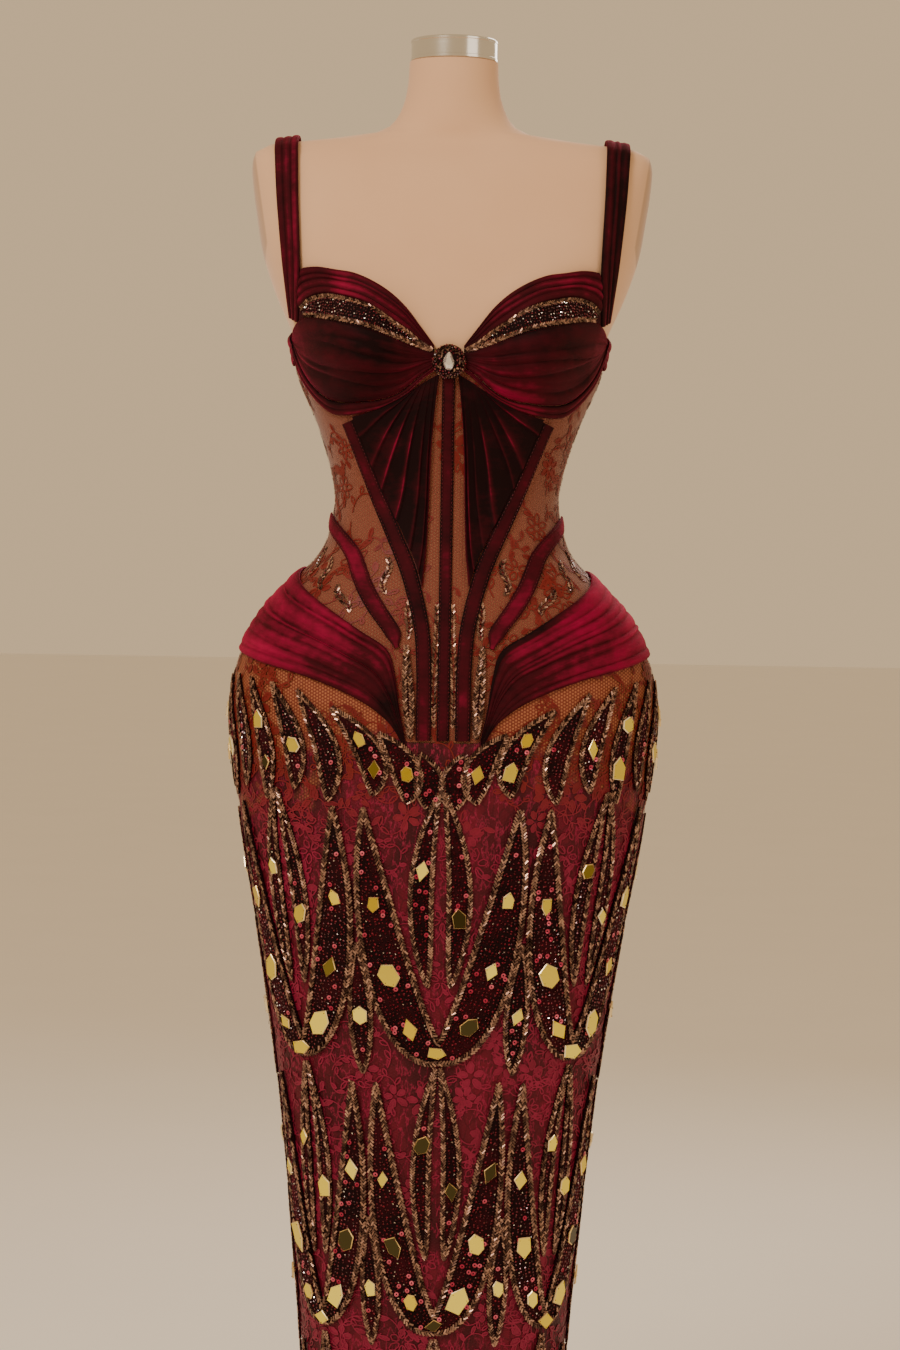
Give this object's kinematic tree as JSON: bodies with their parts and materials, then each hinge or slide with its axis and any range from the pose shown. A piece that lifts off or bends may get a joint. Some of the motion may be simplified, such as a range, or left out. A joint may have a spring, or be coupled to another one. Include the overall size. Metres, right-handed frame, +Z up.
{
  "type": "evening dress on a limbless dress form",
  "caption": "Fitted floor-length evening gown with velvet cups, pleated fans, sheer lace corset, folded hip drapes and a narrow beaded skirt, on a limbless dress form with a round base.",
  "frame": {"origin": "on the floor, at the middle of the round base's underside", "axes": "+Z up, the dress's front faces -Y, +X is to the right seen from the front"},
  "size_m": [0.3938, 0.378, 1.5095],
  "materials": {
    "velvet": "deep maroon silk velvet, soft nap",
    "bright_velvet": "crimson velvet, soft nap",
    "lace_net": "tan net with rust floral lace",
    "skirt_lace": "wine lining with crimson lace",
    "beadwork": "dark seed beads, bronze bugle beads, sequins and cut gold mirrors",
    "crystal": "clear faceted crystal",
    "form_jersey": "peach jersey over a smooth form",
    "chrome": "polished",
    "steel": "satin"
  },
  "bodies": {
    "root": {"back_band_left": "velvet", "back_band_right": "velvet", "beaded_cup_left": "beadwork", "beaded_cup_right": "beadwork", "brooch_cluster": "beadwork", "brooch_crystal": "crystal", "casing_centre": "velvet", "casing_inner_left": "velvet", "casing_inner_right": "velvet", "casing_outer_left": "bright_velvet", "casing_outer_right": "bright_velvet", "fan_left": "velvet", "fan_right": "velvet", "form_base": "steel", "form_neck_cap": "chrome", "form_pole": "steel", "form_torso": "form_jersey", "hip_drape_back_left": "bright_velvet", "hip_drape_back_right": "bright_velvet", "hip_drape_left": "bright_velvet", "hip_drape_right": "bright_velvet", "neckline_drape_left": "velvet", "neckline_drape_right": "velvet", "net_back_left": "lace_net", "net_back_right": "lace_net", "net_centre_left": "lace_net", "net_centre_right": "lace_net", "net_side_left": "lace_net", "net_side_right": "lace_net", "skirt_back_left": "skirt_lace", "skirt_back_right": "skirt_lace", "skirt_front": "skirt_lace", "sprig_back_0_0": "beadwork", "sprig_back_0_1": "beadwork", "sprig_back_0_2": "beadwork", "sprig_back_1_0": "beadwork", "sprig_back_1_1": "beadwork", "sprig_back_1_2": "beadwork", "sprig_front_0_0": "beadwork", "sprig_front_0_1": "beadwork", "sprig_front_0_2": "beadwork", "sprig_front_1_0": "beadwork", "sprig_front_1_1": "beadwork", "sprig_front_1_2": "beadwork", "sprig_front_2_0": "beadwork", "sprig_front_2_1": "beadwork", "sprig_front_2_2": "beadwork", "strap_left": "bright_velvet", "strap_right": "velvet", "underbust_band_left": "bright_velvet", "underbust_band_right": "bright_velvet", "velvet_cup_left": "velvet", "velvet_cup_right": "velvet"}
  },
  "joints": []
}
